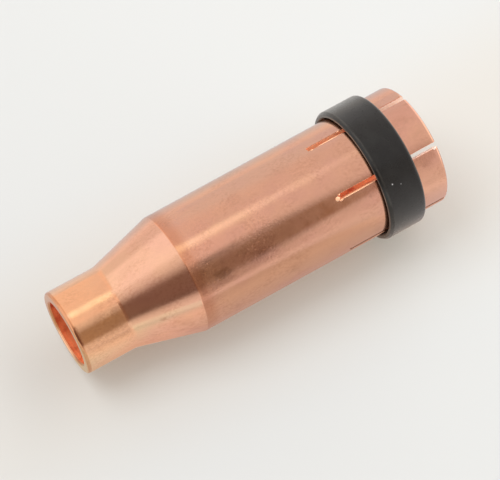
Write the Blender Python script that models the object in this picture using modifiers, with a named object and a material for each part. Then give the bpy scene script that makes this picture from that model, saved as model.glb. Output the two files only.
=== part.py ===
"""Gas nozzle of a welding torch: a turned copper nozzle with a slotted rear end and its steel clamp ring.

The nozzle stands on its slotted rear end. Its axis is Z, the tip points up, and the origin is the centre of
the rear end's plane. Sizes are in metres, angles in degrees.
"""

import math

import bmesh
import bpy

# Overall size of the copper nozzle, and the places along it measured back from the tip
NOZZLE_LENGTH = 0.0760
TIP_DIAMETER = 0.0167
TIP_LENGTH = 0.0102
SHOULDER_FROM_TIP = 0.0231
BODY_DIAMETER = 0.0238

# How much wider the body is at the rear end than at the shoulder, where the fingers spread
REAR_FLARE = 0.0006

# Rounded corners on the outside of the nozzle
TIP_RIM_ROUNDING = 0.0006
NECK_ROUNDING = 0.0008
SHOULDER_ROUNDING = 0.0016
REAR_RIM_ROUNDING = 0.0005

# The through bore follows the outside at these wall thicknesses: wide behind the shoulder, a cone, a throat
FINGER_WALL = 0.0019
SHOULDER_WALL = 0.0016
TIP_WALL = 0.00215
REAR_LEAD_IN = 0.0004
BORE_CONE_SETBACK = 0.0010
BORE_CONE_ROUNDING = 0.0020
MOUTH_STEP = 0.00012
MOUTH_STEP_DEPTH = 0.0010
MOUTH_CHAMFER = 0.00035

# Saw cuts right across the rear end: three of them make the six fingers, unevenly spaced as on the real one
SLOT_WIDTH = 0.0010
SLOT_LENGTH = 0.0216
SAW_CUT_ANGLES = (-24.0, -78.0, -144.5)

# Clamp ring round the fingers
RING_FROM_REAR = 0.0059
RING_WIDTH = 0.0078
RING_THICKNESS = 0.0011
RING_CLEARANCE = 0.0003
RING_FRONT_ROUNDING = 0.0008
RING_REAR_ROUNDING = 0.0005
RING_BORE_CHAMFER = 0.0002

# How far a cutter runs past the face that it cuts
OVERRUN = 0.002

TURNING_STEPS = 96
CORNER_STEPS = 4
SHARP_EDGE_ANGLE = 35.0


def clear_scene():
    for obj in list(bpy.data.objects):
        bpy.data.objects.remove(obj, do_unlink=True)


def new_collection(name, hidden=False):
    collection = bpy.data.collections.new(name)
    collection.hide_render = hidden
    bpy.context.scene.collection.children.link(collection)
    return collection


def new_material(name, colour, metallic, roughness):
    material = bpy.data.materials.new(name)
    material.use_nodes = True
    shader = material.node_tree.nodes["Principled BSDF"]
    shader.inputs["Base Color"].default_value = (*colour, 1.0)
    shader.inputs["Metallic"].default_value = metallic
    shader.inputs["Roughness"].default_value = roughness
    return material


def unit_and_length(start, end):
    """Unit vector from one point of the section to another, and the distance between them."""
    across, along = end[0] - start[0], end[1] - start[1]
    length = math.hypot(across, along)
    return (across / length, along / length), length


def corner_half_angle(before, corner, after):
    """Half the angle between the two sides that meet at a corner."""
    to_before = unit_and_length(corner, before)[0]
    to_after = unit_and_length(corner, after)[0]
    along = to_before[0] * to_after[0] + to_before[1] * to_after[1]
    across = to_before[0] * to_after[1] - to_before[1] * to_after[0]
    return math.atan2(abs(across), along) / 2


def rounded_corner(before, corner, after, reach):
    """Points of the arc that touches both sides of a corner at this distance from it, or the bare corner at 0."""
    if reach == 0:
        return [corner]
    half_angle = corner_half_angle(before, corner, after)
    to_before = unit_and_length(corner, before)[0]
    to_after = unit_and_length(corner, after)[0]
    middle = (to_before[0] + to_after[0], to_before[1] + to_after[1])
    middle_length = math.hypot(*middle)
    to_centre = reach / math.cos(half_angle) / middle_length
    centre = (corner[0] + middle[0] * to_centre, corner[1] + middle[1] * to_centre)
    first = (corner[0] + to_before[0] * reach - centre[0], corner[1] + to_before[1] * reach - centre[1])
    last = (corner[0] + to_after[0] * reach - centre[0], corner[1] + to_after[1] * reach - centre[1])
    start = math.atan2(first[1], first[0])
    turn = (math.atan2(last[1], last[0]) - start + math.pi) % (2 * math.pi) - math.pi
    radius = math.hypot(*first)
    angles = [start + turn * step / CORNER_STEPS for step in range(CORNER_STEPS + 1)]
    return [(centre[0] + radius * math.cos(angle), centre[1] + radius * math.sin(angle)) for angle in angles]


def rounded_outline(corners):
    """The closed outline through corners given as (radius from the axis, height, rounding).

    Where two roundings want more than the side between them, both give way in the same proportion.
    """
    places = [corner[:2] for corner in corners]
    count = len(places)
    reaches = []
    for index, (_, _, rounding) in enumerate(corners):
        half_angle = corner_half_angle(places[index - 1], places[index], places[(index + 1) % count])
        reaches.append(rounding / math.tan(half_angle))
    points = []
    for index, reach in enumerate(reaches):
        fitting = 1.0
        for other in (index - 1, (index + 1) % count):
            side = unit_and_length(places[index], places[other])[1]
            wanted = reach + reaches[other]
            if wanted > side:
                fitting = min(fitting, side / wanted)
        before, after = places[index - 1], places[(index + 1) % count]
        points += rounded_corner(before, places[index], after, reach * fitting)
    return points


def turned_object(name, outline, collection, material):
    """Turns a closed outline at +X once round the Z axis."""
    mesh = bpy.data.meshes.new(name)
    shape = bmesh.new()
    ring = [shape.verts.new((radius, 0, height)) for radius, height in outline]
    for index, vertex in enumerate(ring):
        shape.edges.new((vertex, ring[(index + 1) % len(ring)]))
    shape.to_mesh(mesh)
    shape.free()
    turned = bpy.data.objects.new(name, mesh)
    collection.objects.link(turned)
    mesh.materials.append(material)
    screw = turned.modifiers.new("turning", "SCREW")
    screw.steps = TURNING_STEPS
    screw.render_steps = TURNING_STEPS
    screw.use_merge_vertices = True
    screw.merge_threshold = 0.00001
    return turned


def applied_mesh(obj, name):
    """Replaces an object's mesh by the one that its modifiers make, and drops the modifiers."""
    bpy.context.view_layer.update()
    evaluated = obj.evaluated_get(bpy.context.evaluated_depsgraph_get())
    mesh = bpy.data.meshes.new_from_object(evaluated)
    mesh.name = name
    obj.modifiers.clear()
    obj.data = mesh
    return mesh


def body_radius_at(height):
    """Outer radius of the tapered body between the rear end and the shoulder."""
    shoulder_height = NOZZLE_LENGTH - SHOULDER_FROM_TIP
    share = height / shoulder_height
    return (BODY_DIAMETER + REAR_FLARE * (1 - share)) / 2


def nozzle_corners():
    """The nozzle's section, down the outside from the tip and up the bore from the rear end."""
    neck_height = NOZZLE_LENGTH - TIP_LENGTH
    shoulder_height = NOZZLE_LENGTH - SHOULDER_FROM_TIP
    rear_radius = body_radius_at(0)
    rear_bore_radius = rear_radius - FINGER_WALL
    shoulder_bore_radius = BODY_DIAMETER / 2 - SHOULDER_WALL
    throat_radius = TIP_DIAMETER / 2 - TIP_WALL
    mouth_radius = throat_radius + MOUTH_STEP
    step_height = NOZZLE_LENGTH - MOUTH_STEP_DEPTH
    outside = [
        (TIP_DIAMETER / 2, NOZZLE_LENGTH, TIP_RIM_ROUNDING),
        (TIP_DIAMETER / 2, neck_height, NECK_ROUNDING),
        (BODY_DIAMETER / 2, shoulder_height, SHOULDER_ROUNDING),
        (rear_radius, 0, REAR_RIM_ROUNDING),
    ]
    bore = [
        (rear_bore_radius + REAR_LEAD_IN, 0, 0),
        (rear_bore_radius, REAR_LEAD_IN, 0),
        (shoulder_bore_radius, shoulder_height - BORE_CONE_SETBACK, BORE_CONE_ROUNDING),
        (throat_radius, neck_height - BORE_CONE_SETBACK, BORE_CONE_ROUNDING),
        (throat_radius, step_height, 0),
        (mouth_radius, step_height, 0),
        (mouth_radius, NOZZLE_LENGTH - MOUTH_CHAMFER, 0),
        (mouth_radius + MOUTH_CHAMFER, NOZZLE_LENGTH, 0),
    ]
    return outside + bore


def ring_corners():
    """The clamp ring's section: it clears the fingers beneath it, and its outer corners are rounded."""
    front = RING_FROM_REAR + RING_WIDTH
    bore_radius = body_radius_at(RING_FROM_REAR) + RING_CLEARANCE
    outer_radius = bore_radius + RING_THICKNESS
    return [
        (bore_radius + RING_BORE_CHAMFER, front, 0),
        (outer_radius, front, RING_FRONT_ROUNDING),
        (outer_radius, RING_FROM_REAR, RING_REAR_ROUNDING),
        (bore_radius + RING_BORE_CHAMFER, RING_FROM_REAR, 0),
        (bore_radius, RING_FROM_REAR + RING_BORE_CHAMFER, 0),
        (bore_radius, front - RING_BORE_CHAMFER, 0),
    ]


def saw_cutter(number, angle, collection):
    """A blade as wide as a slot that runs right across the rear end at this angle round the axis."""
    bpy.ops.mesh.primitive_cube_add(size=1)
    blade = bpy.context.object
    blade.name = f"saw_cut_{number}"
    for owner in list(blade.users_collection):
        owner.objects.unlink(blade)
    collection.objects.link(blade)
    rear_diameter = 2 * body_radius_at(0)
    blade.scale = (rear_diameter + 2 * OVERRUN, SLOT_WIDTH, SLOT_LENGTH + OVERRUN)
    blade.location = (0, 0, (SLOT_LENGTH - OVERRUN) / 2)
    blade.rotation_euler = (0, 0, math.radians(angle))
    blade.hide_render = True
    blade.display_type = "WIRE"
    return blade


def build_nozzle_body(parts, cutters, material):
    body = turned_object("nozzle_body", rounded_outline(nozzle_corners()), parts, material)
    for number, angle in enumerate(SAW_CUT_ANGLES, start=1):
        cut = body.modifiers.new(f"saw_cut_{number}", "BOOLEAN")
        cut.operation = "DIFFERENCE"
        cut.solver = "EXACT"
        cut.object = saw_cutter(number, angle, cutters)
    return body


def build_clamp_ring(parts, material):
    return turned_object("clamp_ring", rounded_outline(ring_corners()), parts, material)


def main():
    clear_scene()
    parts = new_collection("welding_gas_nozzle")
    cutters = new_collection("cutters", hidden=True)
    copper = new_material("turned_copper", (0.70, 0.32, 0.19), metallic=1.0, roughness=0.28)
    black_steel = new_material("blackened_steel", (0.035, 0.034, 0.032), metallic=0.6, roughness=0.42)
    body = build_nozzle_body(parts, cutters, copper)
    ring = build_clamp_ring(parts, black_steel)
    for turned in (body, ring):
        mesh = applied_mesh(turned, turned.name)
        mesh.shade_smooth()
        mesh.set_sharp_from_angle(angle=math.radians(SHARP_EDGE_ANGLE))


main()
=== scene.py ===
"""Looks of the welding gas nozzle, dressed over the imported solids.

The nozzle stands on its slotted rear end with its axis on Z and its tip up. The camera keeps the
photograph's own angle: it is rolled, so that in its picture the nozzle lies on a pale table with the tip at
the lower left. Sizes are in millimetres and angles in degrees unless a name says otherwise, and meshes
are written in metres.
"""

import logging
import math
from dataclasses import dataclass
from enum import IntEnum
from typing import Any, Optional, Sequence

import bmesh
import bpy
import numpy as np
from mathutils import Matrix, Vector


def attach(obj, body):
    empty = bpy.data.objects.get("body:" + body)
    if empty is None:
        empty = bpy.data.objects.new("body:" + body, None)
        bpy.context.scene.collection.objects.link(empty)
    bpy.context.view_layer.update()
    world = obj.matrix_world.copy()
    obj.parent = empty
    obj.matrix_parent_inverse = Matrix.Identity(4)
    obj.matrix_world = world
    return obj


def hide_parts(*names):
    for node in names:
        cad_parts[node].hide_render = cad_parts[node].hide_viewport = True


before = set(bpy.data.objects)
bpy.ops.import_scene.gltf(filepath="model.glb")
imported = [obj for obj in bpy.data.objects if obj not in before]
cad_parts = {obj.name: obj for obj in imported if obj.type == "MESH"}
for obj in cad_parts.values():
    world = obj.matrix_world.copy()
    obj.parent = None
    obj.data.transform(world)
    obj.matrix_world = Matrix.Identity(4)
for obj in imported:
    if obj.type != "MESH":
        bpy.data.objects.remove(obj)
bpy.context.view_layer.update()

MILLIMETRE = 0.001
MERGE_DISTANCE = 0.002
SHARP_ANGLE = 32.0
ROUNDING_ERROR = 1e-9

# Settings that many nodes share
SMOOTH = {"interpolation_type": "SMOOTHSTEP"}
TIMES = {"operation": "MULTIPLY"}
HIGHEST = {"operation": "MAXIMUM"}
COLOURS = {"data_type": "RGBA"}

Node = bpy.types.Node
Pair = tuple[float, float]
Triple = tuple[float, float, float]

logging.basicConfig(level=logging.INFO, format="%(message)s")
log = logging.getLogger("welding_gas_nozzle")


def linear(hex_colour: str) -> tuple[float, float, float, float]:
    """Turns an sRGB colour such as "#C8864A" into the linear colour that the shaders take.

    Args:
        hex_colour: Six hex digits after a hash sign.

    Returns:
        Red, green, blue and an alpha of 1.
    """
    shares = [int(hex_colour[start:start + 2], 16) / 255 for start in (1, 3, 5)]
    red, green, blue = (
        share / 12.92 if share <= 0.04045 else ((share + 0.055) / 1.055) ** 2.4 for share in shares
    )
    return red, green, blue, 1.0


def rounded_line(corners: Sequence[Triple], run: float, arc_steps: int) -> np.ndarray:
    """An open line through corners, each rounded by an arc, with stops along its straight runs.

    An arc's centre lies on the corner's bisector at rounding / sin(half the corner's angle). With s and e the
    vectors from the centre to the arc's two ends and A the angle between them, the arc's point at share t is
    centre + (sin((1 - t) A) s + sin(t A) e) / sin(A).

    Args:
        corners: (radius, height, rounding) of each corner; the first and last are ends and stay sharp.
        run: The greatest distance between two stops on a straight run.
        arc_steps: Segments in each arc.

    Returns:
        (radius, height) of each stop.
    """
    places = np.array([corner[:2] for corner in corners], float)
    pieces = [places[:1]]
    for number in range(1, len(corners) - 1):
        rounding = corners[number][2]
        corner = places[number]
        if rounding == 0:
            pieces.append(corner[None])
            continue
        back = places[number - 1] - corner
        ahead = places[number + 1] - corner
        back, ahead = back / np.linalg.norm(back), ahead / np.linalg.norm(ahead)
        half = math.acos(float(back @ ahead)) / 2
        centre = corner + (back + ahead) / np.linalg.norm(back + ahead) * rounding / math.sin(half)
        reach = rounding / math.tan(half)
        start, end = corner + back * reach - centre, corner + ahead * reach - centre
        sweep = math.pi - 2 * half
        share = np.linspace(0, 1, arc_steps + 1)[:, None]
        arc = (np.sin((1 - share) * sweep) * start + np.sin(share * sweep) * end) / math.sin(sweep)
        pieces.append(centre + arc)
    pieces.append(places[-1:])
    return with_stops(np.concatenate(pieces), run)


def with_stops(line: np.ndarray, run: float) -> np.ndarray:
    """Cuts each segment of a line into equal steps, and keeps the line's own points.

    Args:
        line: (radius, height) of each point.
        run: The greatest length of a step.

    Returns:
        (radius, height) of each stop.
    """
    lengths = np.linalg.norm(np.diff(line, axis=0), axis=1)
    steps = np.maximum(np.ceil(lengths / run - ROUNDING_ERROR), 1).astype(int)
    segment = np.repeat(np.arange(len(steps)), steps)
    share = (np.arange(steps.sum()) - np.repeat(np.cumsum(steps) - steps, steps)) / np.repeat(steps, steps)
    stops = line[segment] + share[:, None] * (line[segment + 1] - line[segment])
    return np.concatenate([stops, line[-1:]])


def smooth_step(value: np.ndarray) -> np.ndarray:
    """0 up to 0, 1 from 1, and 3 v^2 - 2 v^3 between them."""
    value = np.clip(value, 0, 1)
    return value * value * (3 - 2 * value)


def turned(radius: np.ndarray, angle: np.ndarray, height: np.ndarray) -> np.ndarray:
    """Points at x = radius cos(angle), y = radius sin(angle), z = height, with the angle in radians."""
    radius, angle, height = np.broadcast_arrays(radius, angle, height)
    return np.stack([radius * np.cos(angle), radius * np.sin(angle), height], axis=-1)


def outward(azimuth: float, elevation: float = 0.0) -> Vector:
    """The direction (sin a cos e, -cos a cos e, sin e) from the object, with both angles in degrees."""
    around, up = math.radians(azimuth), math.radians(elevation)
    return Vector((math.sin(around) * math.cos(up), -math.cos(around) * math.cos(up), math.sin(up)))


def new_object(name: str, data: Any) -> bpy.types.Object:
    """Makes an object and links it to the scene.

    Args:
        name: Its name.
        data: Its mesh, light or camera.

    Returns:
        The new object.
    """
    added = bpy.data.objects.new(name, data)
    bpy.context.scene.collection.objects.link(added)
    return added


class Face(IntEnum):
    """How a face of the copper body was cut, as the number of its material slot."""

    TURNED = 0
    SAWN = 1
    BORED = 2


class Patches:
    """Gathers surface patches, each a grid of points or one flat outline, into one mesh."""

    def __init__(self) -> None:
        """Starts with nothing in it."""
        self.points: list[np.ndarray] = []
        self.faces: list[list[int]] = []
        self.materials: list[int] = []
        self.count = 0

    def _keep(self, points: np.ndarray, faces: list[list[int]], materials: list[int]) -> None:
        """Adds points and faces.

        Args:
            points: Their places in millimetres.
            faces: Each face's points, numbered from the first of these points.
            materials: Each face's material slot.
        """
        self.faces += [[self.count + number for number in face] for face in faces]
        self.materials += materials
        self.points.append(points.reshape(-1, 3))
        self.count += len(self.points[-1])

    def grid(self, points: np.ndarray, closed: bool = False, kind: Any = Face.TURNED) -> None:
        """Adds a grid of four-sided faces.

        Args:
            points: Rows by columns by three.
            closed: Whether the last column joins the first.
            kind: One material slot for all faces, or an array of them that spreads over rows by columns.
        """
        rows, columns = points.shape[:2]
        number = np.arange(rows * columns).reshape(rows, columns)
        if closed:
            number = np.concatenate([number, number[:, :1]], axis=1)
        quads = np.stack([number[:-1, :-1], number[:-1, 1:], number[1:, 1:], number[1:, :-1]], axis=-1)
        kinds = np.broadcast_to(np.asarray(kind, int), quads.shape[:2])
        self._keep(points, quads.reshape(-1, 4).tolist(), kinds.ravel().tolist())

    def outline(self, points: np.ndarray, kind: Face = Face.TURNED) -> None:
        """Adds one flat face through the points of an outline."""
        self._keep(points, [list(range(len(points)))], [int(kind)])

    def to_object(self, name: str, sharp_angle: float = SHARP_ANGLE) -> bpy.types.Object:
        """Makes the object: points that meet are merged, faces point outwards, and sharp edges stay crisp.

        Args:
            name: The piece's name.
            sharp_angle: Edges that turn by more than this stay sharp.

        Returns:
            The new object, linked to the scene, with its place in its mesh.
        """
        mesh = bpy.data.meshes.new(name)
        mesh.from_pydata((np.concatenate(self.points) * MILLIMETRE).tolist(), [], self.faces)
        mesh.polygons.foreach_set("material_index", self.materials)
        shape = bmesh.new()
        shape.from_mesh(mesh)
        bmesh.ops.remove_doubles(shape, verts=shape.verts, dist=MERGE_DISTANCE * MILLIMETRE)
        bmesh.ops.recalc_face_normals(shape, faces=shape.faces)
        shape.to_mesh(mesh)
        shape.free()
        mesh.shade_smooth()
        mesh.set_sharp_from_angle(angle=math.radians(sharp_angle))
        return new_object(name, mesh)


@dataclass
class CopperNozzle:
    """The turned copper body: tip, cone, tapered barrel and the six sprung fingers between its saw cuts."""

    length: float = 76.0
    tip_diameter: float = 16.7
    tip_length: float = 10.2
    shoulder_from_tip: float = 23.1
    body_diameter: float = 23.8
    rear_flare: float = 0.6
    tip_rim_rounding: float = 0.6
    neck_rounding: float = 5.0
    shoulder_rounding: float = 1.6
    rear_rim_rounding: float = 0.5
    finger_wall: float = 1.9
    shoulder_wall: float = 1.6
    tip_wall: float = 2.15
    rear_lead_in: float = 0.4
    bore_cone_setback: float = 1.0
    bore_cone_rounding: float = 2.0
    mouth_step: float = 0.20
    mouth_step_depth: float = 1.0
    mouth_chamfer: float = 0.35
    slot_width: float = 1.0
    slot_length: float = 21.6
    saw_cut_angles: Triple = (-24.0, -78.0, -144.5)
    deburr: float = 0.12
    deburr_run: float = 1.2
    # How finely the mesh follows the shape. A flat rim reaches past its rounding by this share of it.
    rim_reach: float = 1.1
    stop_spacing: float = 0.7
    bore_stop_spacing: float = 1.6
    slot_end_stops: Pair = (0.3, 0.6)
    slot_end_gap: float = 0.05
    arc_steps: int = 10
    finger_columns: int = 42
    finger_edge_crowding: float = 0.35
    slot_columns: int = 4
    wall_columns: int = 6
    corner_columns: int = 3
    mouth_stops: int = 1

    def outer_line(self) -> np.ndarray:
        """The outside's section, through the corners of the tip, neck, shoulder and rear end.

        Returns:
            (radius, height) of each stop, from the tip's flat rim to the rear end's flat rim.
        """
        neck, shoulder = self.length - self.tip_length, self.length - self.shoulder_from_tip
        tip, body = self.tip_diameter / 2, self.body_diameter / 2
        rear = body + self.rear_flare / 2
        corners = [
            (tip - self.rim_reach * self.tip_rim_rounding, self.length, 0),
            (tip, self.length, self.tip_rim_rounding),
            (tip, neck, self.neck_rounding),
            (body, shoulder, self.shoulder_rounding),
            (rear, 0, self.rear_rim_rounding),
            (rear - self.rim_reach * self.rear_rim_rounding, 0, 0),
        ]
        return rounded_line(corners, self.stop_spacing, self.arc_steps)

    def outer_radius(self, height: Any) -> Any:
        """The outside's radius at one height or at an array of them."""
        line = self.outer_line()[::-1]
        return np.interp(height, line[1:, 1], line[1:, 0])

    def bore_line(self) -> np.ndarray:
        """The bore's section: it follows the outside at the named wall thicknesses.

        Returns:
            (radius, height) of each stop, from the rear end to the tip's mouth.
        """
        neck, shoulder = self.length - self.tip_length, self.length - self.shoulder_from_tip
        rear_bore = (self.body_diameter + self.rear_flare) / 2 - self.finger_wall
        shoulder_bore = self.body_diameter / 2 - self.shoulder_wall
        throat = self.tip_diameter / 2 - self.tip_wall
        mouth = throat + self.mouth_step
        step = self.length - self.mouth_step_depth
        corners = [
            (rear_bore + self.rear_lead_in, 0, 0),
            (rear_bore, self.rear_lead_in, 0),
            (shoulder_bore, shoulder - self.bore_cone_setback, self.bore_cone_rounding),
            (throat, neck - self.bore_cone_setback, self.bore_cone_rounding),
            (throat, step, 0),
            (mouth, step, 0),
            (mouth, self.length - self.mouth_chamfer, 0),
            (mouth + self.mouth_chamfer, self.length, 0),
        ]
        return rounded_line(corners, self.bore_stop_spacing, self.arc_steps)

    def bore_radius(self, height: Any) -> Any:
        """The bore's radius at one height or at an array of them."""
        line = self.bore_line()
        return np.interp(height, line[:, 1], line[:, 0])

    def slot_angles(self) -> np.ndarray:
        """Both ends of every saw cut, as angles round the axis.

        Returns:
            The six slots' angles in radians, in rising order, with the first one repeated a turn later.
        """
        both_ends = np.array([angle + turn for angle in self.saw_cut_angles for turn in (0, 180)])
        rising = np.sort(np.radians(both_ends % 360))
        return np.append(rising, rising[0] + 2 * math.pi)

    def slot_half_angle(self, radius: np.ndarray, share: np.ndarray | float = 1.0) -> np.ndarray:
        """The angle whose sine is share times half the slot's width over the radius."""
        return np.arcsin(share * self.slot_width / 2 / radius)

    def finger_angles(self, finger: int, radius: np.ndarray) -> np.ndarray:
        """The angles of a finger's columns at each radius, closer together near its two edges.

        With u from -1 to 1 over the columns and c the crowding, a column's share of the finger is
        (1 + (1 - c) u + c sin(u pi / 2)) / 2.

        Args:
            finger: The finger's number, from 0.
            radius: A column of radii.

        Returns:
            Radii by columns, in radians.
        """
        slots = self.slot_angles()
        edge = self.slot_half_angle(radius)
        spread = np.linspace(-1, 1, self.finger_columns)
        crowding = self.finger_edge_crowding
        share = ((1 - crowding) * spread + crowding * np.sin(spread * math.pi / 2) + 1) / 2
        start, end = slots[finger] + edge, slots[finger + 1] - edge
        return start + (end - start) * share

    def shell_points(self, line: np.ndarray) -> np.ndarray:
        """The unslotted part: each point of a line carried round the axis through every column.

        Args:
            line: (radius, height) of each point.

        Returns:
            Points of the line by columns by three.
        """
        radius, height = line[:, :1], line[:, 1:]
        across = np.linspace(-1, 1, self.slot_columns + 1)[1:-1]
        columns = []
        for finger, slot in enumerate(self.slot_angles()[:-1]):
            columns += [slot + self.slot_half_angle(radius, across), self.finger_angles(finger, radius)]
        return turned(radius, np.concatenate(columns, axis=1), height)

    def finger_loops(self, finger: int, height: np.ndarray) -> np.ndarray:
        """A finger's closed cross-section at each height.

        It runs along the outer arc, down one sawn wall, back along the bore and up the other wall. The two
        outer corners are rounded by the deburring, which runs out towards the slot's end.

        Args:
            finger: The finger's number, from 0.
            height: A column of heights, from the slot's end down to the rear end.

        Returns:
            Heights by points of the loop by three.
        """
        outer, bore = self.outer_radius(height), self.bore_radius(height)
        start, end = self.slot_angles()[finger:finger + 2]
        half_width = self.slot_width / 2
        bevel = self.deburr * smooth_step((self.slot_length - height) / self.deburr_run)
        edge = np.arcsin((half_width + bevel) / outer)
        arc = np.clip(self.finger_angles(finger, outer), start + edge, end - edge)
        turn = np.linspace(0, math.pi / 2, self.corner_columns + 1)
        corner_radius = outer - bevel * (1 - np.cos(turn))
        corner = np.arcsin((half_width + bevel * (1 - np.sin(turn))) / corner_radius)
        down = np.linspace(0, 1, self.wall_columns + 1)[1:-1]
        wall_radius = (outer - bevel) + (bore - outer + bevel) * down
        wall = np.arcsin(half_width / wall_radius)
        return np.concatenate([
            turned(outer, arc, height),
            turned(corner_radius, end - corner, height)[:, 1:],
            turned(wall_radius, end - wall, height),
            turned(bore, self.finger_angles(finger, bore)[:, ::-1], height),
            turned(wall_radius, start + wall, height)[:, ::-1],
            turned(corner_radius, start + corner, height)[:, :0:-1],
        ], axis=1)

    def slot_end(self, slot: float, outer: float, bore: float) -> np.ndarray:
        """The flat end of one saw cut, from the outside to the bore and from wall to wall.

        Args:
            slot: The slot's angle round the axis in radians.
            outer: The outside's radius there.
            bore: The bore's radius there.

        Returns:
            Rows by columns by three.
        """
        radius = np.linspace(outer, bore, self.wall_columns + 1)[:, None]
        across = np.linspace(-1, 1, self.slot_columns + 1)
        return turned(radius, slot + self.slot_half_angle(radius, across), np.array(self.slot_length))

    def build(self) -> bpy.types.Object:
        """Builds the whole body as one closed mesh.

        Returns:
            The new object, with its faces numbered for the finishes that Face lists.
        """
        end = self.slot_length
        outer_line, bore_line = self.outer_line(), self.bore_line()
        outer_end, bore_end = float(self.outer_radius(end)), float(self.bore_radius(end))
        above_outer = outer_line[outer_line[:, 1] > end + self.slot_end_gap]
        above_bore = bore_line[bore_line[:, 1] > end + self.slot_end_gap]
        shell_line = np.concatenate([[[bore_end, end]], above_bore, above_outer, [[outer_end, end]]])
        finger_stops = np.unique(np.concatenate([
            outer_line[outer_line[:, 1] < end - self.slot_end_gap, 1],
            [self.rear_lead_in, end, *(end - stop for stop in self.slot_end_stops)],
        ]))[::-1, None]

        patches = Patches()
        in_bore = np.arange(len(shell_line) - 1)[:, None] < len(above_bore) - self.mouth_stops
        patches.grid(self.shell_points(shell_line), closed=True,
                     kind=np.where(in_bore, Face.BORED, Face.TURNED))
        arc, wall, corner = self.finger_columns - 1, self.wall_columns, self.corner_columns
        round_finger = np.repeat([Face.TURNED, Face.SAWN, Face.BORED, Face.SAWN, Face.TURNED],
                                 [arc + corner, wall, arc, wall, corner])
        for finger, slot in enumerate(self.slot_angles()[:-1]):
            loops = self.finger_loops(finger, finger_stops)
            patches.grid(loops, closed=True, kind=round_finger)
            patches.outline(loops[-1])
            patches.grid(self.slot_end(slot, outer_end, bore_end), kind=Face.SAWN)
        return patches.to_object("copper_nozzle")


@dataclass
class ClampRing:
    """The turned black steel ring that holds the fingers together."""

    from_rear: float = 5.9
    width: float = 7.8
    bore_radius: float = 12.4665
    thickness: float = 1.1
    front_chamfer: Pair = (0.38, 0.58)
    front_rounding: float = 0.2
    rear_rounding: float = 0.5
    bore_chamfer: float = 0.2
    columns: int = 240
    arc_steps: int = 8
    stop_spacing: float = 0.6

    def outer_radius(self, height: float) -> float:
        """The outside's radius, which is the same at every height."""
        return self.bore_radius + self.thickness

    def build(self) -> bpy.types.Object:
        """Carries the ring's closed section once round the axis.

        Returns:
            The new object.
        """
        front, middle = self.from_rear + self.width, self.from_rear + self.width / 2
        outer = self.outer_radius(middle)
        chamfered = self.bore_radius + self.bore_chamfer
        corners = [
            (self.bore_radius, middle, 0),
            (self.bore_radius, front - self.bore_chamfer, 0),
            (chamfered, front, 0),
            (outer - self.front_chamfer[0], front, self.front_rounding),
            (outer, front - self.front_chamfer[1], self.front_rounding),
            (outer, self.from_rear, self.rear_rounding),
            (chamfered, self.from_rear, 0),
            (self.bore_radius, self.from_rear + self.bore_chamfer, 0),
            (self.bore_radius, middle, 0),
        ]
        line = rounded_line(corners, self.stop_spacing, self.arc_steps)
        angle = np.linspace(0, 2 * math.pi, self.columns, endpoint=False)
        patches = Patches()
        patches.grid(turned(line[:, :1], angle, line[:, 1:]), closed=True)
        return patches.to_object("black_clamp_ring")


@dataclass(frozen=True)
class Burr:
    """A crumb of copper that the saw or the press left on the body, by its place and its three sizes."""

    azimuth: float
    height: float
    along: float
    around: float
    proud: float
    phase: float = 0.0
    lumpiness: float = 0.22

    def points(self, radius: float) -> np.ndarray:
        """A lumpy ellipsoid sunk to its middle in the body.

        With u round it and v from pole to pole, its reach is scaled by
        1 + lumpiness sin(3 u + phase) sin(2 v + phase) sin(v).

        Args:
            radius: The body's outer radius at this height.

        Returns:
            Rows by columns by three.
        """
        rows, columns = 9, 14
        v = np.linspace(0, math.pi, rows)[:, None]
        u = np.linspace(0, 2 * math.pi, columns, endpoint=False)
        lumps = np.sin(3 * u + self.phase) * np.sin(2 * v + self.phase) * np.sin(v)
        reach = 1 + self.lumpiness * lumps
        along = self.along / 2 * reach * np.cos(v)
        around = self.around / 2 * reach * np.sin(v) * np.cos(u)
        out = radius + self.proud * reach * np.sin(v) * np.sin(u)
        angle = math.radians(self.azimuth - 90) + around / out
        return turned(out, angle, self.height + along)


@dataclass
class SawBurrs:
    """The crumbs left where the slots were sawn and where the ring was pressed on."""

    sharp_angle: float = 60.0
    burrs: tuple[Burr, ...] = (
        Burr(9.3, 17.6, 7.6, 0.20, 0.05, 0.9),
        Burr(63.5, 16.9, 5.6, 0.17, 0.04, 2.0),
        Burr(11.2, 21.85, 0.95, 0.85, 0.26),
        Burr(8.8, 21.30, 0.70, 0.42, 0.18, 1.4),
        Burr(13.9, 21.30, 0.40, 0.30, 0.12, 2.2),
        Burr(67.6, 14.60, 0.60, 0.24, 0.10, 0.7),
        Burr(63.2, 20.90, 0.50, 0.22, 0.07, 2.9),
        Burr(9.3, 0.75, 0.70, 0.40, 0.10, 1.9),
        Burr(-52.6, 21.60, 0.40, 0.30, 0.08, 0.4),
    )

    def build(self, nozzle: CopperNozzle) -> bpy.types.Object:
        """Builds every burr on the nozzle's surface as one object.

        Args:
            nozzle: The body that carries them.

        Returns:
            The new object.
        """
        patches = Patches()
        for burr in self.burrs:
            patches.grid(burr.points(nozzle.outer_radius(burr.height)), closed=True)
        return patches.to_object("saw_burrs", self.sharp_angle)


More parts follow.
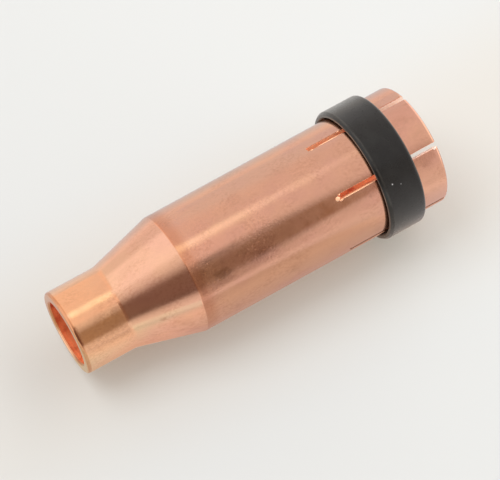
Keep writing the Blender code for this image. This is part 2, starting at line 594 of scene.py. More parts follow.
class Nodes:
    """Adds nodes to the tree of a material or a world, and links them."""

    def __init__(self, owner: Any) -> None:
        """Gives the material or the world its tree."""
        owner.use_nodes = True
        self.tree: bpy.types.NodeTree = owner.node_tree

    def feed(self, node: Node, inputs: Any) -> None:
        """Sets or links a node's inputs.

        Args:
            node: The node.
            inputs: Values by input name, or a tuple of them in the order of the inputs that the node shows. A
                socket is linked, a node is linked by the first output that it shows, and the rest is set.
        """
        if isinstance(inputs, dict):
            pairs = [(node.inputs[name], value) for name, value in inputs.items()]
        else:
            pairs = list(zip([socket for socket in node.inputs if socket.enabled], inputs))
        for socket, value in pairs:
            if isinstance(value, Node):
                value = next(output for output in value.outputs if output.enabled)
            if isinstance(value, bpy.types.NodeSocket):
                self.tree.links.new(value, socket)
            else:
                socket.default_value = value

    def add(self, kind: str, inputs: Any = (), **settings: Any) -> Node:
        """Adds a node with its settings, its input values and its links.

        Args:
            kind: The node's type name in Blender after "ShaderNode".
            inputs: What feed takes.
            settings: The node's own properties.

        Returns:
            The new node.
        """
        node = self.tree.nodes.new("ShaderNode" + kind)
        for name, value in settings.items():
            setattr(node, name, value)
        self.feed(node, inputs)
        return node

    def band(self, value: Any, rise: Pair, fall: Pair, peak: float = 1.0) -> Node:
        """A mask that is up between two soft edges.

        Args:
            value: What it goes by.
            rise: The values where it starts to rise and where it is up.
            fall: The values where it is down again and where it is still up.
            peak: Its level when it is up.

        Returns:
            The mask.
        """
        risen = self.add("MapRange", (value, *rise, 0.0, peak), **SMOOTH)
        return self.add("Math", (risen, self.add("MapRange", (value, *fall), **SMOOTH)), **TIMES)

    def painted(self, ground: Any, coats: Sequence[tuple[Node, str, str]]) -> Node:
        """Lays coats over a ground colour.

        Args:
            ground: The linear colour, or the node that gives it.
            coats: Each coat's mask, its sRGB colour and how it blends.

        Returns:
            The colour with its coats.
        """
        for mask, colour, blend in coats:
            ground = self.add("Mix", (mask, ground, linear(colour)), blend_type=blend, **COLOURS)
        return ground

    def by_stops(self, value: Any, stops: Sequence[tuple[float, tuple[float, ...]]]) -> Node:
        """A colour that runs evenly from stop to stop.

        Args:
            value: What it goes by.
            stops: Each stop's value, in rising order, and its linear colour.

        Returns:
            The colour.
        """
        first, last = stops[0][0], stops[-1][0]
        ramp = self.add("ValToRGB", (self.add("MapRange", (value, first, last)),))
        elements = ramp.color_ramp.elements
        while len(elements) < len(stops):
            elements.new(1.0)
        for element, (stop, colour) in zip(elements, stops):
            element.position = (stop - first) / (last - first)
            element.color = colour
        return ramp


@dataclass(frozen=True)
class Clouds:
    """A pattern of soft-edged patches, where smooth noise passes from one of its levels to another.

    Its size is about how wide a patch is along x, y and z, and the levels are the noise, from 0 to 1, where
    the mask is 0 and 1. The detail is how many finer layers the noise has. The shift keeps patterns apart.
    """

    size: Triple
    levels: Pair
    detail: float
    shift: float = 0.0


@dataclass(frozen=True)
class Spot:
    """A smudge or chip on a piece's outside.

    Its size is its radius. It has its full depth over the middle share of that, and fades out to its edge.
    """

    azimuth: float
    height: float
    size: float
    depth: float = 1.0
    middle_share: float = 0.35


class Finish(Nodes):
    """The nodes of a new material, with the place on the object for its patterns and spots."""

    def __init__(self, name: str) -> None:
        """Makes the material. Its place is in millimetres, so that every pattern's size is a real one.

        Args:
            name: The material's name.
        """
        self.material = bpy.data.materials.new(name)
        super().__init__(self.material)
        self.shader = self.tree.nodes["Principled BSDF"]
        metres = self.add("TexCoord").outputs["Object"]
        self.place = self.add("VectorMath", (metres, 1 / MILLIMETRE), operation="SCALE")
        self.height = self.add("SeparateXYZ", (self.place,)).outputs["Z"]

    def patchy(self, clouds: Clouds, place: Optional[Node] = None) -> Node:
        """The mask of a pattern.

        Args:
            clouds: The pattern.
            place: The place in millimetres that it goes by, where that isn't the object's own.

        Returns:
            The mask.
        """
        scaled = self.add("VectorMath", (place or self.place, clouds.size), operation="DIVIDE")
        moved = self.add("VectorMath", (scaled, (clouds.shift,) * 3), operation="ADD")
        noise = self.add("TexNoise", {"Vector": moved, "Scale": 1.0, "Detail": clouds.detail})
        return self.add("MapRange", (noise, *clouds.levels), **SMOOTH)

    def spotted(self, spots: Sequence[Spot], piece: CopperNozzle | ClampRing) -> Any:
        """One mask of all the spots on a piece's outside, which is the strongest of theirs at each place.

        Args:
            spots: The spots.
            piece: The piece, whose outer radius places them.

        Returns:
            The mask.
        """
        mask: Any = 0.0
        for spot in spots:
            middle = outward(spot.azimuth) * piece.outer_radius(spot.height) + Vector((0, 0, spot.height))
            away = self.add("VectorMath", (self.place, middle), operation="DISTANCE")
            middle_size = spot.middle_share * spot.size
            own = self.add("MapRange", (away, spot.size, middle_size, 0.0, spot.depth), **SMOOTH)
            mask = self.add("Math", (mask, own), **HIGHEST)
        return mask

    def bumped(self, layers: Sequence[tuple[Node, float]]) -> Node:
        """A bump whose height is the sum of each layer's mask times its depth.

        Args:
            layers: Each layer's mask and its depth in millimetres.

        Returns:
            The bump.
        """
        height: Any = 0.0
        for mask, depth in layers:
            height = self.add("Math", (mask, depth, height), operation="MULTIPLY_ADD")
        return self.add("Bump", {"Distance": MILLIMETRE, "Height": height})


@dataclass(frozen=True)
class TurnedCopper:
    """Electrolytic copper, turned, tumbled and handled.

    To the eye it is a warm, slightly blurred mirror. Fine rings from the tool cross the reflections, and
    shallow dents from tumbling break their edges into flecks. Faint pale specks and short scratches gather in
    patches. The tip has a yellower cast, and painted shade darkens the rim's edge and the strip behind the
    shoulder, where dark reflections stand. There are a few brownish smudge spots where it was touched, with
    painted shade among them at the rear end.
    """

    colour: str = "#F5BC9C"
    pink_colour: str = "#F3B89D"
    warm_tip_colour: str = "#FAC39D"
    warm_tip_heights: Pair = (62.0, 69.0)
    # Painted shade along the rim's edge and behind the shoulder, where dark reflections stand.
    # Each line starts, is full and ends at these heights, and has this depth.
    painted_shade_line_tint: str = "#E7D1C2"
    painted_shade_line_end: float = 0.12
    painted_shade_lines: tuple[tuple[float, float, float, float], ...] = (
        (75.20, 75.50, 75.95, 1.0),
        (49.60, 52.00, 52.95, 0.58),
    )
    # These clouds are as wide as they look in the photograph.
    pink: Clouds = Clouds((7.0, 7.0, 9.0), (0.40, 0.66), 3.0)
    worn: Clouds = Clouds((2.6, 2.6, 4.0), (0.30, 0.72), 4.0, 11.0)
    tumbled: Clouds = Clouds((5.0, 5.0, 6.0), (0.36, 0.66), 2.0, 31.0)
    rubbed: Clouds = Clouds((6.0, 6.0, 6.0), (0.46, 0.62), 2.0, 53.0)
    rubbed_depth: float = 0.55
    film: Clouds = Clouds((3.5, 3.5, 6.0), (0.55, 0.80), 5.0, 23.0)
    film_depth: float = 0.16
    # Real grains are 0.05 mm wide and tool rings 0.1 mm apart. Both are drawn as coarse as they need to show.
    speck_tint: str = "#EBE1DB"
    speck_strengths: Pair = (0.11, 0.55)
    specks: Clouds = Clouds((0.45, 0.45, 0.60), (0.36, 0.76), 1.0, 71.0)
    grain: Clouds = Clouds((0.30, 0.30, 0.30), (0.15, 0.85), 1.0, 61.0)
    grain_depth: float = 0.0016
    tool_mark_spacing: float = 0.35
    tool_mark_depth: float = 0.0005
    peel: Clouds = Clouds((1.3, 1.3, 1.3), (0.15, 0.85), 1.0, 3.0)
    peel_depth: float = 0.0022
    # Dings are deepest between the fingers' slots and the shoulder.
    ding_spacing: float = 0.85
    ding_depth: float = 0.0046
    ding_reach: Pair = (0.36, 0.06)
    ding_share_elsewhere: float = 0.15
    dinged_from: Pair = (20.0, 32.0)
    dinged_to: Pair = (53.5, 52.0)
    hairlines: Clouds = Clouds((0.15, 0.15, 3.0), (0.58, 0.72), 1.0, 41.0)
    hairline_depth: float = 0.0030
    hairline_slant: float = 38.0
    scraped: Spot = Spot(-30.0, 47.5, 6.5)
    roughness: Pair = (0.13, 0.18)
    tarnish_and_shade_colour: str = "#B47B5D"
    smudge_roughness: float = 0.34
    smudge_and_shade_depth: float = 0.42
    blotches: Clouds = Clouds((1.5, 1.5, 2.4), (0.28, 0.80), 7.0, 5.0)
    smudges_and_shade: tuple[Spot, ...] = (
        Spot(-15.0, 60.3, 0.9),
        Spot(-34.0, 57.4, 3.0, 0.75),
        Spot(-46.0, 55.6, 2.0, 0.6),
        Spot(-44.0, 47.0, 2.4, 0.7),
        Spot(-26.5, 33.5, 3.0, 0.6),
        Spot(-1.0, 15.6, 0.8),
        Spot(-1.5, 3.2, 1.7, 0.9),
        Spot(43.0, 4.2, 2.2, 0.8),
        Spot(26.0, 2.4, 1.6, 0.7),
        # Painted shade: darkens the reflection on a rear finger.
        Spot(41.0, 2.6, 2.0),
        # Painted shade in a nick at the rear end, beside a slot.
        Spot(15.9, 0.8, 0.9, 2.4),
    )

    def material(self, nozzle: CopperNozzle) -> bpy.types.Material:
        """Builds the material.

        Args:
            nozzle: The body, whose radius places the smudge spots and the painted shade.

        Returns:
            The material.
        """
        nodes = Finish("turned_copper")
        height = nodes.height
        smudged_and_shaded = self.smudge_and_shade_mask(nodes, nozzle)
        at_tip = nodes.add("MapRange", (height, *self.warm_tip_heights), **SMOOTH)
        tumbled = nodes.patchy(self.tumbled)
        speckled = nodes.add("MapRange", (tumbled, 0.0, 1.0, *self.speck_strengths), **SMOOTH)
        coats = (
            (nodes.patchy(self.pink), self.pink_colour, "MIX"),
            (at_tip, self.warm_tip_colour, "MIX"),
            (self.painted_shade_line_mask(nodes), self.painted_shade_line_tint, "MULTIPLY"),
            (smudged_and_shaded, self.tarnish_and_shade_colour, "MIX"),
            (nodes.add("Math", (speckled, nodes.patchy(self.specks)), **TIMES), self.speck_tint, "MULTIPLY"),
        )
        plain = nodes.add("MapRange", (nodes.patchy(self.worn), 0.0, 1.0, *self.roughness), **SMOOTH)
        nodes.feed(nodes.shader, {
            "Base Color": nodes.painted(linear(self.colour), coats),
            "Metallic": 1.0,
            "Roughness": nodes.add("Mix", (smudged_and_shaded, plain, self.smudge_roughness)),
            "Normal": self.relief(nodes, tumbled, nozzle),
        })
        return nodes.material

    def painted_shade_line_mask(self, nodes: Finish) -> Any:
        """Painted shade on the rim's edge and on the strip behind the shoulder, for the dark reflections
        there.

        Args:
            nodes: The material's nodes.

        Returns:
            The mask.
        """
        mask: Any = 0.0
        for start, full, end, depth in self.painted_shade_lines:
            line = nodes.band(nodes.height, (start, full), (end, end - self.painted_shade_line_end), depth)
            mask = nodes.add("Math", (mask, line), **HIGHEST)
        return mask

    def smudge_and_shade_mask(self, nodes: Finish, nozzle: CopperNozzle) -> Node:
        """All the smudge spots with the painted shade among them, broken up by noise, and a faint tarnish
        everywhere.

        Args:
            nodes: The material's nodes.
            nozzle: The body, whose radius places the smudge spots and the painted shade.

        Returns:
            The mask.
        """
        broken = nodes.add("Math", (nodes.patchy(self.blotches), self.smudge_and_shade_depth), **TIMES)
        placed = nodes.add("Math", (nodes.spotted(self.smudges_and_shade, nozzle), broken), **TIMES)
        faint = nodes.add("Math", (nodes.patchy(self.film), self.film_depth), **TIMES)
        return nodes.add("Math", (placed, faint), **HIGHEST)

    def relief(self, nodes: Finish, tumbled: Node, nozzle: CopperNozzle) -> Node:
        """The tool's rings, soft unevenness and grain from tumbling, dings and scratches, as one bump.

        Args:
            nodes: The material's nodes.
            tumbled: The mask of the patches that took the most knocks.
            nozzle: The body, whose radius places the scraped patch.

        Returns:
            The bump.
        """
        turns = nodes.add("Math", (nodes.height, self.tool_mark_spacing), operation="DIVIDE")
        rings = nodes.add("TexNoise", {"W": turns, "Scale": 1.0, "Detail": 1.0}, noise_dimensions="1D")
        spread = nodes.add("VectorMath", (nodes.place, (self.ding_spacing,) * 3), operation="DIVIDE")
        cells = nodes.add("TexVoronoi", {"Vector": spread, "Scale": 1.0})
        dings = nodes.add("MapRange", (cells, *self.ding_reach), **SMOOTH)
        front = nodes.band(nodes.height, self.dinged_from, self.dinged_to)
        share = nodes.add("Math", (self.ding_share_elsewhere, front), operation="ADD")
        dinged = nodes.add("Math", (tumbled, share), **TIMES)

        slant, axis = math.radians(self.hairline_slant), outward(self.scraped.azimuth)
        slanted = nodes.add("VectorRotate", {"Vector": nodes.place, "Axis": axis, "Angle": slant})
        hairlines = nodes.patchy(self.hairlines, slanted)
        faint = nodes.add("Math", (nodes.patchy(self.rubbed), self.rubbed_depth), **TIMES)
        scratched = nodes.add("Math", (faint, nodes.spotted([self.scraped], nozzle)), **HIGHEST)
        return nodes.bumped((
            (rings, self.tool_mark_depth),
            (nodes.patchy(self.peel), self.peel_depth),
            (nodes.patchy(self.grain), self.grain_depth),
            (nodes.add("Math", (dings, dinged), **TIMES), -self.ding_depth),
            (nodes.add("Math", (hairlines, scratched), **TIMES), -self.hairline_depth),
        ))


@dataclass(frozen=True)
class CutCopper:
    """Copper as a coarser tool left it: duller than the polished outside, with the tool's marks."""

    name: str
    colour: str
    dark_colour: str
    # Painted light: the paler colour towards the open rear end, behind the clamp ring.
    lit_rear_colour: str
    roughness: Pair
    marks: Clouds
    metallic: float
    mark_depth: float = 0.006
    stains: Clouds = Clouds((1.8, 1.8, 2.6), (0.42, 0.72), 4.0, 7.0)
    rear_heights: Pair = (7.0, 5.0)
    # Painted shadow on the walls of the slot at this azimuth.
    shaded_slot_azimuth: Optional[float] = None
    slot_shadow_colour: str = "#94654A"
    slot_shadow_reach: Pair = (9.4, 10.4)

    def material(self) -> bpy.types.Material:
        """Builds the material: its marks roughen the copper, and stains darken it.

        Painted light makes it paler behind the clamp ring, and painted shadow darkens one slot's walls where
        there is an azimuth for it.

        Returns:
            The material.
        """
        nodes = Finish(self.name)
        marks = nodes.patchy(self.marks)
        behind_ring = nodes.add("MapRange", (nodes.height, *self.rear_heights), **SMOOTH)
        coats = [(nodes.patchy(self.stains), self.dark_colour, "MIX"), (behind_ring, self.lit_rear_colour, "MIX")]
        if self.shaded_slot_azimuth is not None:
            shaded_slot = outward(self.shaded_slot_azimuth)
            reach = nodes.add("VectorMath", (nodes.place, shaded_slot), operation="DOT_PRODUCT")
            slot_shadow = nodes.add("MapRange", (reach, *self.slot_shadow_reach), **SMOOTH)
            coats.append((slot_shadow, self.slot_shadow_colour, "MIX"))
        nodes.feed(nodes.shader, {
            "Base Color": nodes.painted(linear(self.colour), coats),
            "Metallic": self.metallic,
            "Roughness": nodes.add("MapRange", (marks, 0.0, 1.0, *self.roughness), **SMOOTH),
            "Normal": nodes.bumped([(marks, self.mark_depth)]),
        })
        return nodes.material


# Real scores and bored rings are about 0.1 mm apart. Both are drawn as coarse as they need to show.
# The slitting saw leaves fine scores across the wall, and the bare metal scatters the light.
SAWN_COPPER = CutCopper(
    "sawn_copper", "#FFCBA2", "#F8B087", "#FFE6D6", roughness=(0.36, 0.52),
    marks=Clouds((1.4, 1.4, 0.16), (0.25, 0.75), 3.0), metallic=0.08, shaded_slot_azimuth=-54.5)
# The drill and the boring bar leave close rings, and the bore is never polished.
BORED_COPPER = CutCopper(
    "bored_copper", "#F8935F", "#D3623A", "#F4AC86", roughness=(0.44, 0.58),
    marks=Clouds((6.0, 6.0, 0.30), (0.25, 0.75), 3.0), metallic=0.45)


@dataclass(frozen=True)
class BlackOxideSteel:
    """Turned steel blackened in a hot oxide bath and oiled.

    To the eye it is a satin black skin with a grey sheen at grazing angles. It is slightly cloudy where the
    oil dried, rubbed a little at its edges, and chipped to bare steel in a few specks.
    """

    colour: str = "#070707"
    cloudy_colour: str = "#111110"
    cloudy: Clouds = Clouds((3.2, 3.2, 2.4), (0.38, 0.70), 4.0)
    rubbed_colour: str = "#33312E"
    rubbed: Clouds = Clouds((2.4, 2.4, 0.8), (0.30, 0.66), 5.0, 9.0)
    # Where the rubbing starts and is full, above the front chamfer's edge and above the ring's rear end
    front_rise: Pair = (-0.30, -0.02)
    front_fall: Pair = (0.30, 0.06)
    rear_rise: Pair = (0.65, 0.15)
    chip_colour: str = "#D9DCDD"
    chip_metallic: float = 0.9
    roughness: Pair = (0.26, 0.36)
    uneven: Clouds = Clouds((1.6, 1.6, 1.6), (0.30, 0.70), 4.0, 13.0)
    shine: float = 0.19
    oil_film: float = 0.40
    oil_roughness: float = 0.22
    sheen: float = 0.29
    sheen_tint: str = "#FFF3E4"
    # The oxide's grain and the turning marks are finer on the real ring, and drawn as coarse as they show.
    grain: Clouds = Clouds((0.5, 0.5, 0.5), (0.25, 0.75), 2.0, 19.0)
    grain_depth: float = 0.004
    marks: Clouds = Clouds((5.0, 5.0, 0.3), (0.25, 0.75), 1.0, 27.0)
    mark_depth: float = 0.0012
    chips: tuple[Spot, ...] = (
        Spot(1.5, 11.6, 0.20),
        Spot(-1.6, 10.0, 0.14, 0.7),
        Spot(120.0, 9.0, 0.24),
        Spot(-140.0, 11.5, 0.28),
    )

    def rubbed_mask(self, nodes: Finish, ring: ClampRing) -> Node:
        """The ring's two outer edges, where the black is rubbed thin in patches.

        Args:
            nodes: The material's nodes.
            ring: The ring, whose sizes place its edges.

        Returns:
            The mask.
        """
        edge = ring.from_rear + ring.width - ring.front_chamfer[1]
        from_edge = nodes.add("Math", (nodes.height, edge), operation="SUBTRACT")
        from_rear = nodes.add("Math", (nodes.height, ring.from_rear), operation="SUBTRACT")
        front = nodes.band(from_edge, self.front_rise, self.front_fall)
        rear = nodes.add("MapRange", (from_rear, *self.rear_rise), **SMOOTH)
        edges = nodes.add("Math", (front, rear), **HIGHEST)
        return nodes.add("Math", (edges, nodes.patchy(self.rubbed)), **TIMES)

    def material(self, ring: ClampRing) -> bpy.types.Material:
        """Builds the material.

        Args:
            ring: The ring, whose sizes place the chips and the rubbed edges.

        Returns:
            The material.
        """
        nodes = Finish("black_oxide_steel")
        chipped = nodes.spotted(self.chips, ring)
        uneven = nodes.patchy(self.uneven)
        coats = (
            (nodes.patchy(self.cloudy), self.cloudy_colour, "MIX"),
            (self.rubbed_mask(nodes, ring), self.rubbed_colour, "MIX"),
            (chipped, self.chip_colour, "MIX"),
        )
        nodes.feed(nodes.shader, {
            "Base Color": nodes.painted(linear(self.colour), coats),
            "Metallic": nodes.add("Math", (chipped, self.chip_metallic), **TIMES),
            "Roughness": nodes.add("MapRange", (uneven, 0.0, 1.0, *self.roughness), **SMOOTH),
            "Specular IOR Level": self.shine,
            "Coat Weight": self.oil_film,
            "Coat Roughness": self.oil_roughness,
            "Sheen Weight": self.sheen,
            "Sheen Tint": linear(self.sheen_tint),
            "Normal": nodes.bumped((
                (nodes.patchy(self.grain), self.grain_depth),
                (nodes.patchy(self.marks), self.mark_depth),
            )),
        })
        return nodes.material


@dataclass(frozen=True)
class PhotoCamera:
    """The photograph's camera, worked out from the nozzle's edges in it."""

    azimuth: float = 22.18
    elevation: float = 14.244
    roll: float = 118.79
    distance: float = 371.7
    lens: float = 143.17
    sensor: float = 36.0
    far_clip: float = 100000.0
    aim: Triple = (-1.05, -0.43, 37.14)

    def add(self) -> None:
        """Adds the camera and makes it the scene's own."""
        towards = outward(self.azimuth, self.elevation)
        level_right = Vector((0, 0, 1)).cross(towards).normalized()
        level_up = towards.cross(level_right)
        roll = math.radians(self.roll)
        up = level_up * math.cos(roll) + level_right * math.sin(roll)
        right = level_right * math.cos(roll) - level_up * math.sin(roll)
        data = bpy.data.cameras.new("photo_camera")
        data.lens = self.lens
        data.sensor_width = self.sensor
        data.clip_end = self.far_clip * MILLIMETRE
        camera = new_object("photo_camera", data)
        place = (Vector(self.aim) + towards * self.distance) * MILLIMETRE
        camera.matrix_world = Matrix.Translation(place) @ Matrix((right, up, towards)).transposed().to_4x4()
        bpy.context.scene.camera = camera


@dataclass(frozen=True)
class Panel:
    """A soft-edged panel of the light tent, or a dark gap in it, by its directions from the nozzle."""

    name: str
    azimuths: Pair
    elevations: Pair
    soft_edges: Pair
    colour: str
    strength: float = 1.0

    def over(self, nodes: Nodes, azimuth: Node, elevation: Node, below: Any) -> Node:
        """Lays the panel over what is there: its cover is the product of a smooth step at each of its edges.

        Args:
            nodes: The world's nodes.
            azimuth: The direction's azimuth in degrees.
            elevation: The direction's elevation in degrees.
            below: The colour, or the node that gives it, of the tent without this panel.

        Returns:
            The colour of the tent with this panel.
        """
        covers = []
        for angle, (start, end), soft in ((azimuth, self.azimuths, self.soft_edges[0]),
                                          (elevation, self.elevations, self.soft_edges[1])):
            half = soft / 2
            covers.append(nodes.band(angle, (start - half, start + half), (end + half, end - half)))
        cover = nodes.add("Math", covers, **TIMES)
        red, green, blue, alpha = linear(self.colour)
        bright = (red * self.strength, green * self.strength, blue * self.strength, alpha)
        return nodes.add("Mix", (cover, below, bright), label=self.name, **COLOURS)


ALL_ROUND = (-200.0, 200.0)
TENT = (
    Panel("upper half", ALL_ROUND, (-11.0, 95.0), (1.0, 3.0), "#EFEDE9"),
    Panel("warm side above the tip", (20.0, 230.0), (-11.0, 4.0), (16.0, 3.0), "#FDEADA"),
    Panel("cool far side", (100.0, 200.0), (-95.0, -11.5), (24.0, 2.0), "#DDDEE4"),
    Panel("wide softbox over the cone", (50.0, 106.0), (6.0, 40.0), (14.0, 6.0), "#FFFFFF", 1.08),
    Panel("strip softbox", (53.0, 63.0), (-15.4, 6.0), (7.0, 7.0), "#FDFFFF", 1.09),
    Panel("lamp over the tip", (49.5, 64.5), (-11.6, -8.0), (9.0, 2.0), "#FAFFE4", 1.60),
    Panel("wall beyond the tip", ALL_ROUND, (30.0, 95.0), (1.0, 12.0), "#FFFFFF", 1.15),
    Panel("camera side", (-25.0, 17.5), (-14.8, 62.0), (10.0, 2.8), "#3A281C"),
    Panel("camera side, far corner", (-40.0, -10.0), (-13.4, -10.4), (10.0, 2.4), "#604637"),
    Panel("camera side at the shoulder", (-28.0, 22.0), (-13.4, -11.2), (10.0, 1.6), "#2E1E14"),
    Panel("floor lit before the camera", (-20.0, 11.5), (-18.4, -14.6), (10.0, 2.8), "#8E6F50"),
    Panel("camera side at the corners", (-27.0, 28.0), (-6.4, 6.0), (10.0, 3.0), "#84695A"),
    Panel("camera side at the tip", (-60.0, 28.0), (-10.5, -6.4), (8.0, 2.4), "#F1E7DA"),
    Panel("camera side at the tip, dark", (-27.0, 9.0), (-10.5, -6.4), (10.0, 2.4), "#B29B7D"),
    Panel("camera side above the cone", (-27.0, 27.2), (6.0, 44.0), (34.0, 4.0), "#806D65"),
    Panel("white end wall", ALL_ROUND, (-95.0, -30.0), (1.0, 16.0), "#FFFFFF", 1.3),
)


@dataclass
class Studio:
    """The pale table that the nozzle lies on in the photograph, and the light tent round it."""

    table_azimuth: float = 46.0
    table_tilt: float = 2.425
    table_offset: float = 14.14
    table_size: float = 6000.0
    table_colour: str = "#B1B2B1"
    # Painted light on the table, an emission: warmer under the nozzle for the light that the copper throws
    # onto it, and stronger below its rear end
    table_glow: str = "#F2F5F2"
    copper_bounce_glow: str = "#F2E6D2"
    copper_bounce_reach: Pair = (8.0, 34.0)
    glow_heights: Pair = (110.0, -50.0)
    glow_levels: Pair = (0.215, 0.32)
    background: str = "#EBECE8"
    tent_colour: str = "#DCD4D5"
    end_wall_light: float = 1.85
    end_wall_rise: Pair = (-22.0, -38.0)
    # Painted reflection: what polished copper shows of the table, by the distance across it from the nozzle's
    # axis, with painted shade that is dim and warm near the axis
    mirror_stops: tuple[tuple[float, str], ...] = (
        (-110.0, "#EAE6E3"), (-60.0, "#DFE3E6"), (-24.0, "#D2D4D6"), (-8.0, "#BCAA9F"), (1.0, "#B6A28F"),
        (9.0, "#BCA190"), (14.0, "#C3B5AF"), (22.0, "#C8C2BE"), (45.0, "#CFC7BF"), (62.0, "#CBC3BB"),
        (110.0, "#C2B9B1"),
    )
    # Painted light in that reflection: how much brighter it is at each height on the near side, and between
    # these heights on the far side
    mirror_lifts: tuple[Pair, ...] = (
        (-12.0, 1.62), (-2.0, 1.42), (10.0, 1.04), (30.0, 1.02), (43.0, 1.04), (51.0, 1.08), (58.0, 1.38),
        (67.0, 1.52), (77.0, 1.68),
    )
    other_side_reach: Pair = (2.0, -12.0)
    other_side_heights: Pair = (50.0, 60.0)
    other_side_lifts: Pair = (1.02, 1.16)
    far_reach: Pair = (80.0, 150.0)
    far_heights: Pair = (15.0, 40.0)
    far_lift: float = 1.30
    # The painted cooler casts that it takes towards the tip and towards the rear end
    end_casts: tuple[tuple[str, Pair], ...] = (("#E1FCFF", (60.0, 80.0)), ("#EDF3FF", (8.0, -2.0)))
    lamp_azimuth: float = 62.0
    lamp_elevation: float = 20.0
    lamp_distance: float = 420.0
    lamp_size: float = 240.0
    lamp_watts: float = 0.8
    lamp_aim: Triple = (0.0, 0.0, 38.0)

    def build(self) -> None:
        """Adds the table, the world and the lamp."""
        self.build_table()
        self.build_world()
        self.build_lamp()
        bpy.context.scene.view_settings.view_transform = "Standard"

    def build_table(self) -> None:
        """The table touches the clamp ring's front edge and the shoulder, so it stands nearly upright here.

        Its face looks along its azimuth, towards the nozzle. Only that face shows.
        """
        normal = outward(self.table_azimuth, -self.table_tilt)
        across = Vector((0, 0, 1)).cross(normal).normalized()
        along = normal.cross(across)
        centre = -outward(self.table_azimuth) * self.table_offset
        half = self.table_size / 2
        signs = ((-1, -1), (1, -1), (1, 1), (-1, 1))
        corners = [(centre + across * half * x + along * half * y) * MILLIMETRE for x, y in signs]
        mesh = bpy.data.meshes.new("table")
        mesh.from_pydata(corners, [], [(0, 1, 2, 3)])
        mesh.materials.append(self.table_material())
        table = new_object("table", mesh)

    def table_material(self) -> bpy.types.Material:
        """Matt white paper under a painted glow: it takes the nozzle's soft shadow, and its back lets every
        ray through.

        Metal that faces it sees a painted reflection: pale at a distance, and warm and dim where the copper
        nearly touches it.

        Returns:
            The material.
        """
        nodes = Finish("matt_white_paper_painted_glow")
        nodes.tree.nodes.remove(nodes.shader)
        low_side = outward(self.table_azimuth - 90)
        across = nodes.add("VectorMath", (nodes.place, low_side), operation="DOT_PRODUCT")
        apart = nodes.add("Math", (across,), operation="ABSOLUTE")
        tinted = nodes.add("MapRange", (apart, *self.copper_bounce_reach), **SMOOTH)
        glowing = nodes.add("MapRange", (nodes.height, *self.glow_heights, *self.glow_levels), **SMOOTH)
        matt = nodes.add("BsdfDiffuse", (linear(self.table_colour),))
        glow = nodes.painted(linear(self.copper_bounce_glow), [(tinted, self.table_glow, "MIX")])
        plain = nodes.add("AddShader", (matt, nodes.add("Emission", (glow, glowing))))
        mirrored = self.mirrored_table(nodes, across)
        seen_by_metal = nodes.add("LightPath").outputs["Is Glossy Ray"]
        behind = nodes.add("NewGeometry").outputs["Backfacing"]
        front = nodes.add("MixShader", (seen_by_metal, plain, mirrored))
        whole = nodes.add("MixShader", (behind, front, nodes.add("BsdfTransparent")))
        nodes.feed(nodes.tree.nodes["Material Output"], (whole,))
        return nodes.material

    def mirrored_table(self, nodes: Finish, across: Node) -> Node:
        """The table as polished metal shows it: a painted reflection.

        Args:
            nodes: The table's nodes.
            across: The distance across the table from the nozzle's axis, in millimetres.

        Returns:
            The emission.
        """
        height = nodes.height
        brightest = max(lift for _, lift in self.mirror_lifts)
        greys = [(stop, (lift / brightest,) * 3 + (1.0,)) for stop, lift in self.mirror_lifts]
        by_height = nodes.add("Math", (nodes.by_stops(height, greys), brightest), **TIMES)
        far_across = nodes.add("MapRange", (across, *self.far_reach), **SMOOTH)
        far_up = nodes.add("MapRange", (height, *self.far_heights), **SMOOTH)
        distant = nodes.add("Math", (far_across, far_up), **TIMES)
        far_lift = nodes.add("MapRange", (distant, 0.0, 1.0, 1.0, self.far_lift), **SMOOTH)
        near_lift = nodes.add("Math", (by_height, far_lift), **TIMES)
        other_side = nodes.add("MapRange", (across, *self.other_side_reach), **SMOOTH)
        other_ends = (*self.other_side_heights, *self.other_side_lifts)
        other_lift = nodes.add("MapRange", (height, *other_ends), **SMOOTH)
        strength = nodes.add("Mix", (other_side, near_lift, other_lift))
        near_side = nodes.add("Math", (1.0, other_side), operation="SUBTRACT")
        casts = []
        for colour, heights in self.end_casts:
            end = nodes.add("MapRange", (height, *heights), **SMOOTH)
            casts.append((nodes.add("Math", (near_side, end), **TIMES), colour, "MULTIPLY"))
        shown = nodes.by_stops(across, [(stop, linear(colour)) for stop, colour in self.mirror_stops])
        return nodes.add("Emission", (nodes.painted(shown, casts), strength))

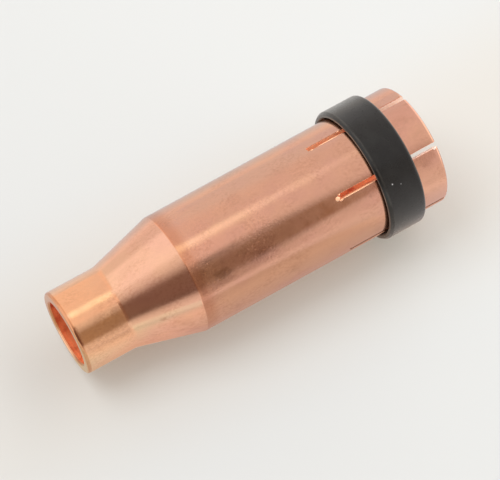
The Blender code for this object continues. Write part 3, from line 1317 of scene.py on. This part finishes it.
    def build_world(self) -> None:
        """A light tent by direction for everything but the camera, which sees a plain pale ground.

        Its end wall lights matt faces more strongly than polished copper shows it.
        """
        world = bpy.data.worlds.new("light_tent")
        bpy.context.scene.world = world
        nodes = Nodes(world)
        nodes.tree.nodes.clear()
        rays = nodes.add("LightPath").outputs
        towards = nodes.add("SeparateXYZ", (nodes.add("TexCoord").outputs["Generated"],)).outputs
        minus_y = nodes.add("Math", (towards["Y"], -1.0), **TIMES)
        around = nodes.add("Math", (towards["X"], minus_y), operation="ARCTAN2")
        rise = nodes.add("Math", (towards["Z"],), operation="ARCSINE")
        azimuth, elevation = (nodes.add("Math", (angle,), operation="DEGREES") for angle in (around, rise))
        colour: Any = linear(self.tent_colour)
        for panel in TENT:
            colour = panel.over(nodes, azimuth, elevation, colour)
        lit = nodes.add("MapRange", (elevation, *self.end_wall_rise, 1.0, self.end_wall_light), **SMOOTH)
        strength = nodes.add("Mix", (rays["Is Glossy Ray"], lit, 1.0))
        tent = nodes.add("Background", (colour, strength))
        seen = nodes.add("Background", (linear(self.background), 1.0))
        chosen = nodes.add("MixShader", (rays["Is Camera Ray"], tent, seen))
        nodes.add("OutputWorld", (chosen,))

    def build_lamp(self) -> None:
        """A square softbox above the table. It is matt, as the tent already shows the metal its softboxes."""
        towards = outward(self.lamp_azimuth, self.lamp_elevation)
        data = bpy.data.lights.new("softbox", "AREA")
        data.size = self.lamp_size * MILLIMETRE
        data.energy = self.lamp_watts
        lamp = new_object("softbox", data)
        lamp.location = (Vector(self.lamp_aim) + towards * self.lamp_distance) * MILLIMETRE
        lamp.rotation_euler = towards.to_track_quat("Z", "Y").to_euler()
        lamp.visible_glossy = False


def dress(piece: bpy.types.Object, materials: Sequence[bpy.types.Material],
          node: Optional[str] = None) -> None:
    """Gives a piece its materials, and puts it in a CAD node's place where it stands for one.

    Args:
        piece: The piece.
        materials: Its materials, in the order of their numbers on its faces.
        node: The CAD node that it stands for, if there is one.
    """
    for material in materials:
        piece.data.materials.append(material)
    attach(piece, "root")
    if node:
        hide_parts(node)
    log.info("%s: %d faces, stands for %s", piece.name, len(piece.data.polygons), node or "no CAD node")


def main() -> None:
    """Builds the pieces, dresses them, and sets the studio and the camera."""
    nozzle, ring = CopperNozzle(), ClampRing()
    outside, sawn, bored = TurnedCopper().material(nozzle), SAWN_COPPER.material(), BORED_COPPER.material()
    dress(nozzle.build(), [outside, sawn, bored], node="nozzle_body")
    dress(SawBurrs().build(nozzle), [sawn])
    dress(ring.build(), [BlackOxideSteel().material(ring)], node="clamp_ring")
    Studio().build()
    PhotoCamera().add()


if __name__ == "__main__":
    main()
